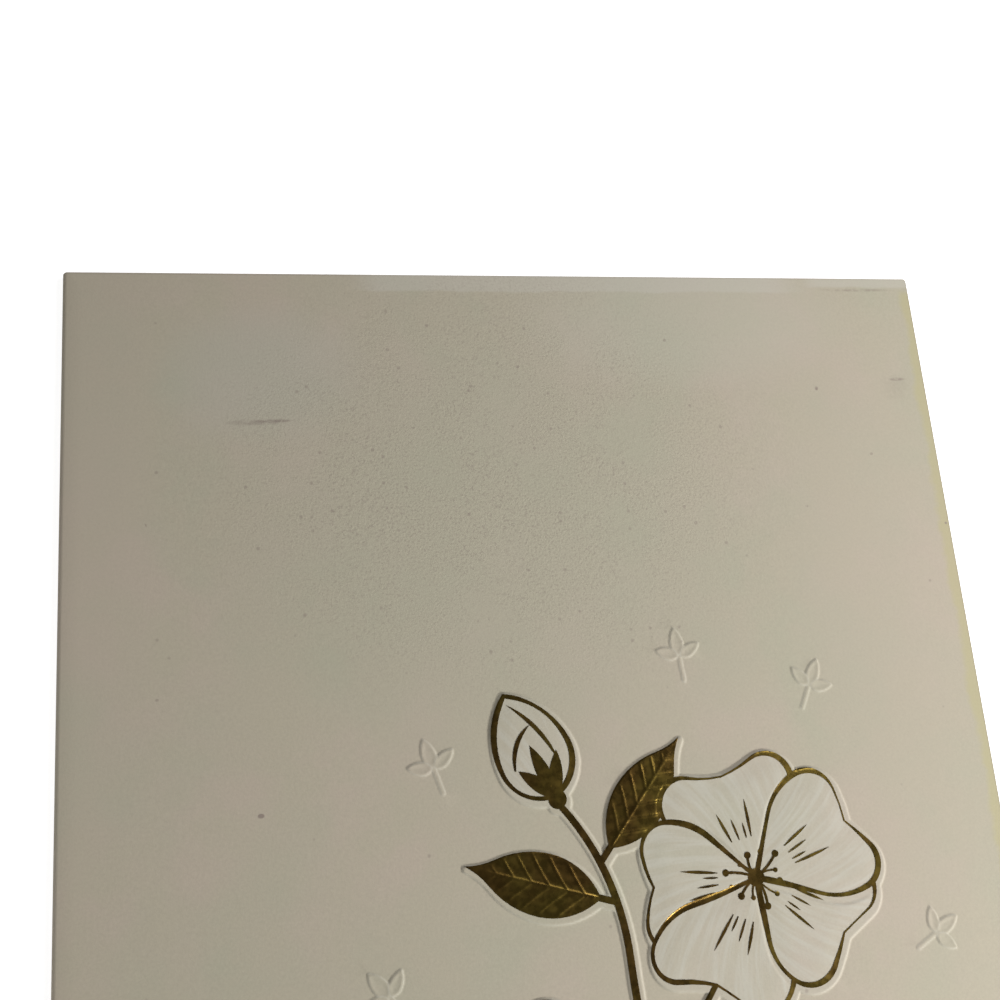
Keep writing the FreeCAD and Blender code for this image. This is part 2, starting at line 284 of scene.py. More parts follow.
def penLoops(loop, beats, phase, runOut=0.0):
    # outer and inner edge of a pen line round a closed outline, with its pressure coming and going
    # and, over the run-out share at either end, thinning towards the outline's tip
    nxt, prev = np.roll(loop, -1, axis=0), np.roll(loop, 1, axis=0)
    lengths = np.linalg.norm(nxt - loop, axis=1)
    share = np.concatenate([[0.0], np.cumsum(lengths)[:-1]]) / lengths.sum()
    way = nxt - prev
    normal = np.stack([way[:, 1], -way[:, 0]], axis=1) / np.linalg.norm(way, axis=1)[:, None]
    if signedArea(loop) < 0:
        normal = -normal
    pressure = 0.5 + 0.5 * np.sin(2 * math.pi * beats * share + phase)
    half = pen["thin"] + (pen["thick"] - pen["thin"]) * pressure
    if runOut:
        fromTip = smooth(np.minimum(share, 1 - share) / runOut)
        half = half * (pen["tipShare"] + (1 - pen["tipShare"]) * fromTip)
    return loop + normal * half[:, None], loop - normal * half[:, None]


# roses

petal = {
    "side": [(0.0, 0.0), (0.70, 0.40), (1.0, 0.80), (0.50, 1.03), (0.0, 0.95)],
    "widest": 2,
    "halfWidth": 0.60,  # share of the length
    "foreshortening": 0.88,
    "beats": 3,
    "beatShift": 1.3,  # from one petal to the next
    "runOut": 0.16,
    "swell": 0.10,
    "swellWidth": 2.6,
    # how far each vein leans out, how far along the petal it reaches, and its half width
    "veins": [(-0.75, 0.64, 0.20), (0.60, 0.70, 0.20), (-0.22, 0.56, 0.15), (0.20, 0.50, 0.13)],
    "veinStart": 0.36,
    "veinSpread": 0.34,
    "veinFlare": 0.7,
    "veinFoot": 0.05,
}


def petalMotif(centre, length, turn, order):
    squeeze, halfWidth = petal["foreshortening"], petal["halfWidth"] * length
    side, widest = petal["side"], petal["widest"]
    form = makeForm("petal", centre, turn, length, halfWidth, side, widest, squeeze, order)
    loop = formLoop(form)
    outer, inner = penLoops(loop, petal["beats"], petal["beatShift"] * order, petal["runOut"])
    ink = [(outer, inner)]
    axis = heading(turn)
    for lean, reach, width in petal["veins"]:
        start = petal["veinStart"] / reach
        path = []
        for along in (start, (1 + start) / 2, 1.0):
            across = lean * petal["veinSpread"] * along ** petal["veinFlare"]
            point = axis * (along * reach * length) + rightOf(axis) * (across * halfWidth)
            path.append(centre + point * np.array([1.0, squeeze]))
        ink.append(inked(strokeLoop(bowedStroke(*path, [petal["veinFoot"], width, 0.0]))))
    reach = pen["half"] + emboss["margin"]
    return motif(outer, ink, [pad(loop, reach, petal["swell"], petal["swellWidth"], form=form)])


# pairs are for a strong and a fine filament, and reaches are shares of a petal's length
eye = {
    "button": 0.072,
    "filaments": 12,
    "shortReach": 0.21,
    "longReach": 0.27,
    "fineShare": 0.86,
    "bow": 0.25,
    "backBow": -0.3,
    "halfWidth": (0.17, 0.12),
    "anther": (0.46, 0.32),
    "antherPoints": 16,
}


def eyeMotif(centre, length):
    squash = np.array([1.0, petal["foreshortening"]])
    ink = [inked(roundLoop(centre, eye["button"] * length))]
    for k in range(eye["filaments"]):
        fine = k % 2
        direction = heading(360.0 * (k + 0.5) / eye["filaments"]) * squash
        reach = eye["longReach"] if (k // 2) % 2 else eye["shortReach"]
        end = centre + direction * (length * reach * (eye["fineShare"] if fine else 1.0))
        side = rightOf(unit(direction)) * (eye["bow"] if k % 3 else eye["backBow"])
        filament = bowedStroke(centre, (centre + end) * 0.5 + side, end, [eye["halfWidth"][fine]] * 3)
        ink.append(inked(strokeLoop(filament)))
        ink.append(inked(roundLoop(end, eye["anther"][fine], eye["antherPoints"])))
    return motif(None, ink, [])


# how each petal differs from a fifth of a turn and from the full length
rose = {"swing": [0.0, 5.0, -3.0, 3.0, -4.0], "share": [1.00, 0.93, 1.03, 0.96, 1.00]}


def roseMotifs(place, turn, length):
    centre = fromEdge(*place)
    pitch = 360.0 / len(rose["swing"])
    motifs = []
    for k, (swing, share) in enumerate(zip(rose["swing"], rose["share"])):
        motifs.append(petalMotif(centre, length * share, turn + pitch * k + swing, k))
    return motifs + [eyeMotif(centre, length)]


# leaves, buds and twigs

leaf = {
    "side": [(0.0, 0.0), (1.0, 0.42), (0.42, 0.80), (0.0, 1.0)],
    "widest": 1,
    "length": 18.5,
    "halfWidth": 3.9,
    "stalk": 2.2,
    "swell": 0.05,
    "swellWidth": 2.0,
}


def leafMotif(joint, turn, share):
    foot = joint + heading(turn) * leaf["stalk"]
    size, halfWidth = leaf["length"] * share, leaf["halfWidth"] * share
    form = makeForm("leaf", foot, turn, size, halfWidth, leaf["side"], leaf["widest"])
    loop = formLoop(form)
    stalk = strokeLoop(bowedStroke(joint, foot, foot + heading(turn) * leaf["stalk"], [pen["twig"]] * 3))
    blade = pad(loop, emboss["margin"], leaf["swell"], leaf["swellWidth"], form=form)
    return motif(loop, [inked(loop), inked(stalk)], [flatPad(stalk), blade])


# lengths and widths are shares of the bud's length, and folds are drawn across and along it
bud = {
    "halfWidth": 0.34,
    "beats": 2,
    "phase": 0.4,
    "order": 6,
    "folds": [
        [(0.52, 0.30), (0.36, 0.62), (-0.06, 0.92)],
        [(-0.66, 0.36), (-0.30, 0.56), (0.26, 0.66)],
    ],
    "foldFoot": 0.10,
    "foldWidth": 0.85,
    "sepals": [(30.0, 0.40), (-30.0, 0.40), (0.0, 0.50)],
    "sepalHalfWidth": 0.066,
    "hipPlace": -0.04,
    "hipRadius": 0.085,
    "hipDrop": 0.12,
    "swell": 0.10,
    "swellWidth": 2.0,
}


def budMotif(place, turn, length):
    foot, axis = fromEdge(*place), heading(turn)
    halfWidth = bud["halfWidth"] * length

    def at(across, along):
        return foot + axis * (along * length) + rightOf(axis) * (across * halfWidth)

    form = makeForm("petal", foot, turn, length, halfWidth, eggSide, 1, order=bud["order"])
    loop = formLoop(form)
    outer, inner = penLoops(loop, bud["beats"], bud["phase"])
    ink = [(outer, inner)]
    foldPen = [bud["foldFoot"], pen["half"] * bud["foldWidth"], 0.0]
    for fold in bud["folds"]:
        ink.append(inked(strokeLoop(bowedStroke(*(at(*point) for point in fold), foldPen))))
    sepalWidth = bud["sepalHalfWidth"] * length
    for lean, share in bud["sepals"]:
        sepal = makeForm("sepal", foot, turn + lean, share * length, sepalWidth, eggSide, 1)
        ink.append(inked(formLoop(sepal)))
    hip = roundLoop(at(0.0, bud["hipPlace"]), bud["hipRadius"] * length)
    ink.append(inked(hip))
    reach = pen["half"] + emboss["margin"]
    return motif(outer, ink, [flatPad(hip), pad(loop, reach, bud["swell"], bud["swellWidth"], form=form)])


def hipOf(place, turn, length):
    # where a twig ends in the hip under a bud
    return fromEdge(*place) - heading(turn) * (bud["hipDrop"] * length)


twig = {"bow": np.array([0.8, -1.5]), "shares": (1.1, 0.85, 1.0)}


def twigMotif(start, end):
    halfWidths = [pen["twig"] * share for share in twig["shares"]]
    return strokeMotif(bowedStroke(start, (start + end) * 0.5 + twig["bow"], end, halfWidths))


def pointOn(stroke, height):
    # the point of the stem's middle line at a height above the foot of the card
    tangents = tangentsThrough(stroke["path"], stroke["anchor"], stroke["direction"])
    chain = np.array(arcPoints(stroke["path"], tangents, stroke["anchor"], step=14.0))
    return np.array([np.interp(height, chain[:, 1], chain[:, 0]), height])


# a blind sprig of three leaflets, pressed without foil
sprig = {
    "size": 3.6,
    "stalk": 0.9,
    "stalkHalfWidth": 0.16,
    "stalkRise": 0.10,
    "leaflets": [(0.0, 1.0), (66.0, 0.85), (-66.0, 0.85)],
    "leafletGap": 0.35,
    "leafletHalfWidth": 0.85,
    "leafletRise": 0.15,
    "hollow": -0.06,
    "hollowWidth": 0.55,
    "bevel": 0.24,
}


def sprigMotif(place, turn):
    foot = fromEdge(*place)
    fork = foot + heading(turn) * (sprig["stalk"] * sprig["size"])
    halfWidths = [sprig["stalkHalfWidth"]] * 3
    stalk = strokeLoop(bowedStroke(foot, (foot + fork) * 0.5, fork, halfWidths, True))
    pads = [pad(stalk, 0.0, 0.0, 1.0, sprig["stalkRise"], sprig["bevel"])]
    for lean, share in sprig["leaflets"]:
        start = fork + heading(turn + lean) * sprig["leafletGap"]
        size, halfWidth = sprig["size"] * share, sprig["leafletHalfWidth"] * share
        loop = formLoop(makeForm("leaflet", start, turn + lean, size, halfWidth, eggSide, 1))
        swell, width, rise = sprig["hollow"], sprig["hollowWidth"], sprig["leafletRise"]
        pads.append(pad(loop, 0.0, swell, width, rise, sprig["bevel"]))
    return motif(None, [], pads)


# the whole spray: places are distances from the opening edge and heights above the foot
spray = {
    "upperRose": {"place": (38.5, 91.0), "turn": 12.0, "length": 16.3},
    "lowerRose": {"place": (66.5, 61.0), "turn": -16.0, "length": 18.6},
    "upperBud": {"place": (65.0, 104.0), "turn": 24.0, "length": 14.5},
    "sideBud": {"place": (29.0, 60.5), "turn": -48.0, "length": 10.5},
    "stem": [(45.0, 21.0), (51.5, 54.0), (57.0, 83.0)],
    "stemTurn": 3.0,
    "stemShares": (1.0, 0.92, 0.84),
    "lowerFork": 54.0,
    "upperFork": 68.5,
    # height on the stem, turn and share of the full size
    "leaves": [
        (90.0, 72.0, 1.00),
        (95.0, -40.0, 0.94),
        (41.0, -68.0, 1.05),
        (34.0, 98.0, 0.98),
        (27.0, -104.0, 0.86),
    ],
    "sprigs": [
        ((80.0, 106.0), 18.0),
        ((28.5, 113.0), -26.0),
        ((86.0, 80.0), 40.0),
        ((16.5, 80.0), -62.0),
        ((85.0, 38.0), 75.0),
        ((22.0, 37.0), -35.0),
        ((45.5, 118.0), 6.0),
    ],
}


def sprayMotifs():
    # from the back to the front
    motifs = [sprigMotif(place, turn) for place, turn in spray["sprigs"]]
    stem = {
        "path": [fromEdge(*place) for place in spray["stem"]] + [hipOf(**spray["upperBud"])],
        "halfWidths": [pen["stem"] * share for share in spray["stemShares"]] + [pen["twig"]],
        "anchor": 0,
        "direction": heading(spray["stemTurn"]),
        "roundStart": True,
    }
    lowerFork, upperFork = pointOn(stem, spray["lowerFork"]), pointOn(stem, spray["upperFork"])
    motifs.append(strokeMotif(stem))
    motifs.append(twigMotif(lowerFork, hipOf(**spray["sideBud"])))
    motifs.append(twigMotif(lowerFork, fromEdge(*spray["lowerRose"]["place"])))
    motifs.append(twigMotif(upperFork, fromEdge(*spray["upperRose"]["place"])))
    motifs += [leafMotif(pointOn(stem, height), turn, share) for height, turn, share in spray["leaves"]]
    motifs += [budMotif(**spray["upperBud"]), budMotif(**spray["sideBud"])]
    return motifs + roseMotifs(**spray["upperRose"]) + roseMotifs(**spray["lowerRose"])


# the relief of the front panel

pearlAndHighlight = {
    "pressed": 5.2,  # painted highlight: the bevels of the pressing are painted paler, in a thin line
    "margin": 0.55,  # how pearly the petals' raised borders are
    "softEdge": (-0.1, 0.2),  # depth inside a petal over which the pearl comes in
    "fanFoot": 0.45,  # streaks stand closer together at the petal's foot
    "fanBow": 0.012,
    "orderShift": 50.0,  # keeps each petal's streaks its own
}


def between(value, low, high):
    return smooth((value - low) / (high - low))


def formPlace(points, form):
    # how far along and across a form each point lies, in millimetres
    axis = heading(form["turn"])
    offset = (points - form["foot"]) / np.array([1.0, form["foreshortening"]])
    return offset @ axis, offset @ rightOf(axis)


def streakPlaces(points, form):
    along, across = formPlace(points, form)
    spreading = pearlAndHighlight["fanFoot"] + (1 - pearlAndHighlight["fanFoot"]) * along / form["length"]
    fan = across / spreading + pearlAndHighlight["fanBow"] * along ** 2
    return np.stack([along, fan, np.full(len(points), pearlAndHighlight["orderShift"] * form["order"])], axis=1)


def reliefAt(points, motifs):
    # at each point, the height of the paper, how pearly it is together with the painted highlight on the
    # bevels, and its place among the streaks
    moved = points - emboss["shift"]
    height = np.zeros(len(points))
    pearlAndBevelHighlight = np.zeros(len(points))
    grain = np.zeros((len(points), 3))
    for drawn in motifs:
        for raised in drawn["pads"]:
            edge = raised["reach"] + raised["bevel"]
            near = nearLoop(moved, raised["loop"], edge)
            if not len(near):
                continue
            depth = depthIn(moved[near], raised["loop"])
            share = smooth((depth + edge) / raised["bevel"])
            top = raised["rise"] + raised["swell"] * smooth(depth / raised["swellWidth"])
            height[near] = height[near] * (1 - share) + top * share
            # painted highlight: a paler line painted along the bevel of every pad
            pearlAndBevelHighlight[near] = np.maximum(pearlAndBevelHighlight[near] * (1 - share), pearlAndHighlight["pressed"] * share * (1 - share))
            form = raised["form"]
            if form and form["kind"] == "petal":
                onPetal = depthIn(points[near], raised["loop"])
                isPearl = between(onPetal, *pearlAndHighlight["softEdge"])
                pearlAndBevelHighlight[near] = np.maximum(pearlAndBevelHighlight[near], pearlAndHighlight["margin"] * share)
                pearlAndBevelHighlight[near] = pearlAndBevelHighlight[near] * (1 - isPearl) + isPearl
                held = near[onPetal > 0]
                grain[held] = streakPlaces(points[held], form)
    return height, pearlAndBevelHighlight, grain


def leafShapes(motifs):
    pads = [raised for drawn in motifs for raised in drawn["pads"]]
    return [raised for raised in pads if raised["form"] and raised["form"]["kind"] == "leaf"]


veinRelief = {
    "margin": 0.8,  # depth from the outline over which the veins come in
    "fade": (0.72, 0.92),  # shares of the length over which they fade towards the tip
    "midrib": (0.105, 0.18),  # rise and half width
    "sideVein": (0.060, 0.16),
    "first": 0.12,
    "pitch": 0.13,
    "count": 6,
    "slope": 1.1,
    "curve": 0.05,
    "steepness": 1.4,
}


def leafVeins(points, motifs):
    # embossed midrib and side veins on the foil leaves
    ridge = np.zeros(len(points))
    for raised in leafShapes(motifs):
        form = raised["form"]
        near = nearLoop(points, raised["loop"])
        inner = smooth(depthIn(points[near], raised["loop"]) / veinRelief["margin"])
        along, across = formPlace(points[near], form)
        fade = 1 - between(along / form["length"], *veinRelief["fade"])
        rise, halfWidth = veinRelief["midrib"]
        vein = rise * np.exp(-(across / halfWidth) ** 2) * fade
        rise, halfWidth = veinRelief["sideVein"]
        for k in range(veinRelief["count"]):
            start = form["length"] * (veinRelief["first"] + veinRelief["pitch"] * k)
            sweep = veinRelief["slope"] * np.abs(across) - veinRelief["curve"] * across ** 2
            away = (along - start - sweep) / veinRelief["steepness"]
            vein = np.maximum(vein, rise * np.exp(-(away / halfWidth) ** 2) * fade)
        ridge[near] = np.maximum(ridge[near], vein * inner)
    return ridge


def placeOnSheet(a, v, height):
    # a runs along the outside of the sheet: the front panel above nought, then the fold, then
    # the back panel
    lean, radius = sheet["gape"], sheet["foldRadius"]
    axisX = radius - sheet["width"] / 2
    turn = np.clip(-a / radius, 0, math.pi - lean) + lean
    reach = np.maximum(a, 0)
    x = axisX - (radius + height) * np.sin(turn) + reach * math.cos(lean)
    z = radius + (radius + height) * np.cos(turn) + reach * math.sin(lean)
    x = x + np.maximum(-a - foldLength, 0)
    return np.stack([x, v - sheet["height"] / 2, z], axis=1) * mm


# meshes

def makePiece(name, corners, triangles, attributes):
    bpy.ops.object.select_all(action="DESELECT")
    mesh = bpy.data.meshes.new(name)
    mesh.from_pydata(corners.tolist(), [], [tuple(t) for t in triangles])
    for key, values in attributes.items():
        isVector = values.ndim == 2
        attribute = mesh.attributes.new(key, "FLOAT_VECTOR" if isVector else "FLOAT", "POINT")
        attribute.data.foreach_set("vector" if isVector else "value", values.astype(np.float32).ravel())
    mesh.update()
    piece = bpy.data.objects.new(name, mesh)
    bpy.context.scene.collection.objects.link(piece)
    piece.select_set(True)
    bpy.context.view_layer.objects.active = piece
    return piece


def thicken(piece, thickness, offset, smoothAngle, backMaterial=0, rimMaterial=0):
    solid = piece.modifiers.new("thickness", "SOLIDIFY")
    solid.thickness = thickness * mm
    solid.offset = offset
    solid.use_rim = True
    solid.material_offset = backMaterial
    solid.material_offset_rim = rimMaterial
    bpy.ops.object.modifier_apply(modifier=solid.name)
    bpy.ops.object.shade_smooth_by_angle(angle=math.radians(smoothAngle))


def triangulated(points, edges, outline=None):
    # keeps what lies inside the outline, or without one all of the hull
    faces, kept = ([outline], 1) if outline else ([], 0)
    flat, _, triangles, _, _, _ = delaunay_2d_cdt([tuple(p) for p in points], edges, faces, kept, 1e-5)
    return np.array([tuple(p) for p in flat]), np.array(triangles)


def gridPoints(low, high, spacing):
    across = np.arange(low[0], high[0] + 1e-6, spacing)
    along = np.arange(low[1], high[1] + 1e-6, spacing)
    u, v = np.meshgrid(across, along, indexing="ij")
    return np.stack([u.ravel(), v.ravel()], axis=1), u.shape


fine = {
    "low": (34.0, 16.0),
    "high": (118.0, 130.0),
    "spacing": 0.17,
    "bend": 0.004,  # how sharply the relief turns from one fine step to the next
    "coarser": 4,
    "raised": 0.001,
}


def reliefPoints(motifs):
    # a fine grid kept only where the relief bends, and a middling one wherever it is raised
    points, shape = gridPoints(fine["low"], fine["high"], fine["spacing"])
    height = reliefAt(points, motifs)[0].reshape(shape)
    middle = height[1:-1, 1:-1]
    around = height[2:, 1:-1] + height[:-2, 1:-1] + height[1:-1, 2:] + height[1:-1, :-2]
    kept = np.zeros(shape, bool)
    kept[1:-1, 1:-1] = np.abs(around - 4 * middle) > fine["bend"]
    grown = kept.copy()
    for axis in (0, 1):
        for step in (-1, 1):
            grown |= np.roll(kept, step, axis=axis)
    i, j = np.indices(shape)
    onMiddling = (i % fine["coarser"] == 0) & (j % fine["coarser"] == 0)
    return points[(grown | (onMiddling & (height > fine["raised"]))).ravel()]


# the card

card = {
    "frontStep": 2.5,
    "backStep": 8.0,
    "backEdgeStep": 6.0,
    "nearFold": 1.0,
    "nearFoldStep": 0.25,
    "foldSteps": 10,
    "foldRows": 30,
    "frontLow": (2.0, 2.5),
    "frontMargin": 1.5,
    "backMargin": 6.0,
    "backFromFold": 3.0,
    "reliefGap": 1.2,  # the coarse grid keeps out of squares of this size that hold relief points
    "frontShare": 0.7,  # share of the fold that is finished as the front is
    "rubDepth": 0.32,
    "rubReach": 0.92,
    "rubFalloff": 1.6,
    "rubEnds": 40,  # the higher, the nearer to its two ends the fold is worn
    "smoothAngle": 45,
}


def sheetOutline():
    # the whole sheet laid flat: round corners at both opening edges
    low, high, top = -foldLength - panelLength, panelLength, sheet["height"]
    r, near = sheet["cornerRadius"], card["nearFold"]
    front, back = card["frontStep"], card["backEdgeStep"]
    loop = []

    def run(start, end, spacing):
        start, end = np.array(start), np.array(end)
        count = max(1, round(np.linalg.norm(end - start) / spacing))
        loop.extend(start + (end - start) * k / count for k in range(count))

    def corner(centre, first):
        centre = np.array(centre)
        for k in range(4):
            angle = math.radians(first + 90 * k / 4)
            loop.append(centre + r * np.array([math.cos(angle), math.sin(angle)]))

    stops = [low + r, -foldLength - near, -foldLength, 0, near, high - r]
    spacings = [back, card["nearFoldStep"], foldLength / card["foldSteps"], card["nearFoldStep"], front]
    stretches = list(zip(stops, stops[1:], spacings))
    for start, end, spacing in stretches:
        run((start, 0), (end, 0), spacing)
    corner((high - r, r), -90)
    run((high, r), (high, top - r), front)
    corner((high - r, top - r), 0)
    for start, end, spacing in reversed(stretches):
        run((end, top), (start, top), spacing)
    corner((low + r, top - r), 90)
    run((low, top - r), (low, r), back)
    corner((low + r, r), 180)
    return np.array(loop)


def foldLines(first):
    # rows of points down the fold, joined so that its rounding stays even
    points, edges = [], []
    for k in range(card["foldSteps"] + 1):
        start = first + len(points)
        rows = np.linspace(0, sheet["height"], card["foldRows"] + 1)
        points += [(-foldLength * k / card["foldSteps"], v) for v in rows]
        edges += [(start + i, start + i + 1) for i in range(card["foldRows"])]
    return points, edges


def wornAway(a, v):
    # how far the ends of the fold are worn towards its middle, most halfway round the fold
    across = np.abs(a + foldLength / 2) / (foldLength / 2)
    depth = card["rubDepth"] * np.clip(card["rubReach"] - across, 0, 1) ** card["rubFalloff"]
    along = (v - sheet["height"] / 2) / (sheet["height"] / 2)
    return depth * np.sign(along) * np.abs(along) ** card["rubEnds"]


def foldedCard(motifs, relief):
    outline = sheetOutline()
    folds, foldEdges = foldLines(len(outline))
    frontHigh = (panelLength - card["frontMargin"], sheet["height"] - card["frontMargin"])
    front, _ = gridPoints(card["frontLow"], frontHigh, card["frontStep"])
    backLow = (-foldLength - panelLength + card["backMargin"], card["backMargin"])
    backHigh = (-foldLength - card["backFromFold"], sheet["height"] - card["backMargin"])
    back, _ = gridPoints(backLow, backHigh, card["backStep"])
    relief = relief - np.array([sheet["foldRadius"], 0])
    taken = set(map(tuple, np.floor(relief / card["reliefGap"]).astype(int)))
    clear = [p for p in front if tuple(np.floor(p / card["reliefGap"]).astype(int)) not in taken]
    points = np.concatenate([outline, np.array(folds), back, np.array(clear), relief])
    flat, triangles = triangulated(points, foldEdges, list(range(len(outline))))
    a, v = flat[:, 0], flat[:, 1]
    height, pearlAndBevelHighlight, grain = reliefAt(flat + np.array([sheet["foldRadius"], 0]), motifs)
    height = np.where(a > 0, height, 0)
    isFront = a > -foldLength * card["frontShare"]
    attributes = {"pearlAndBevelHighlight": pearlAndBevelHighlight, "grain": grain, "front": isFront.astype(float)}
    piece = makePiece("foldedCard", placeOnSheet(a, v - wornAway(a, v), height), triangles, attributes)
    piece.data.materials.append(boardMaterial("ivoryBoard", True))
    piece.data.materials.append(boardMaterial("ivoryBoardInside", False))
    piece.data.materials.append(edgeMaterial())
    thicken(piece, sheet["board"], -1, card["smoothAngle"], backMaterial=1, rimMaterial=2)
    return piece


# the foil

foil = {
    "lift": 0.03,
    "thickness": 0.02,
    "leafStep": 0.16,
    "leafMargin": 0.12,
    "smoothAngle": 65,
}


def inkedAt(centres, motifs):
    # each form hides the ink of what lies behind it, so the front one is asked first
    isOpen = np.ones(len(centres), bool)
    isInked = np.zeros(len(centres), bool)
    for drawn in reversed(motifs):
        for outer, inner in drawn["ink"]:
            inside = isInside(centres, outer)
            if inner is not None:
                inside &= ~isInside(centres, inner)
            isInked |= isOpen & inside
        isOpen &= ~isInked
        if drawn["cover"] is not None:
            isOpen &= ~isInside(centres, drawn["cover"])
    return isInked


def goldFoil(motifs, relief):
    loops = [loop for drawn in motifs for pair in drawn["ink"] for loop in pair if loop is not None]
    points, edges = [], []
    for loop in loops:
        first, count = len(points), len(loop)
        points.extend(loop)
        edges += [(first + k, first + (k + 1) % count) for k in range(count)]
    for raised in leafShapes(motifs):
        inside, _ = gridPoints(raised["loop"].min(0), raised["loop"].max(0), foil["leafStep"])
        points.extend(inside[depthIn(inside, raised["loop"]) > foil["leafMargin"]])
    points.extend(relief)
    flat, triangles = triangulated(points, edges)
    kept = triangles[inkedAt(flat[triangles].mean(axis=1), motifs)]
    used, kept = np.unique(kept, return_inverse=True)
    kept, flat = kept.reshape(-1, 3), flat[used]
    height = reliefAt(flat, motifs)[0] + leafVeins(flat, motifs) + foil["lift"]
    corners = placeOnSheet(flat[:, 0] - sheet["foldRadius"], flat[:, 1], height)
    piece = makePiece("goldFoil", corners, kept, {})
    piece.data.materials.append(foilMaterial())
    thicken(piece, foil["thickness"], 1, foil["smoothAngle"])
    return piece


# nodes

def startMaterial(name):
    material = bpy.data.materials.new(name)
    material.use_nodes = True
    tree = material.node_tree
    return material, tree, tree.nodes["Principled BSDF"]


def addNode(tree, kind, inputs=None, **settings):
    made = tree.nodes.new(kind)
    for key, value in settings.items():
        setattr(made, key, value)
    for key, value in (inputs or {}).items():
        if isinstance(value, bpy.types.NodeSocket):
            tree.links.new(value, made.inputs[key])
        else:
            made.inputs[key].default_value = value
    return made


def calc(tree, operation, first, second=0.0, third=0.0, clamp=False):
    inputs = {0: first, 1: second, 2: third}
    return addNode(tree, "ShaderNodeMath", inputs, operation=operation, use_clamp=clamp).outputs[0]


def times(tree, first, *factors, clamp=False):
    for factor in factors:
        first = calc(tree, "MULTIPLY", first, factor, clamp=clamp)
    return first


def noise(tree, place, scale, detail=2.0, roughness=0.5):
    inputs = {"Vector": place, "Scale": scale, "Detail": detail, "Roughness": roughness}
    return addNode(tree, "ShaderNodeTexNoise", inputs).outputs["Fac"]


def spread(tree, value, low, high, toLow=0.0, toHigh=1.0):
    inputs = {"Value": value, "From Min": low, "From Max": high, "To Min": toLow, "To Max": toHigh}
    return addNode(tree, "ShaderNodeMapRange", inputs, interpolation_type="SMOOTHSTEP").outputs["Result"]


def tint(tree, share, first, second, blend="MIX"):
    made = addNode(tree, "ShaderNodeMix", data_type="RGBA", blend_type=blend)
    for slot, value in ((0, share), (6, first), (7, second)):
        if isinstance(value, bpy.types.NodeSocket):
            tree.links.new(value, made.inputs[slot])
        elif slot:
            made.inputs[slot].default_value = (*value, 1.0)
        else:
            made.inputs[slot].default_value = value
    return made.outputs[2]


def attributeOf(tree, name, output="Fac"):
    return addNode(tree, "ShaderNodeAttribute", attribute_name=name).outputs[output]


def addBump(tree, shader, height, finish):
    inputs = {"Height": height, "Strength": finish["bump"], "Distance": finish["bumpHeight"] * mm}
    bump = addNode(tree, "ShaderNodeBump", inputs)
    tree.links.new(bump.outputs["Normal"], shader.inputs["Normal"])


# the board's finish

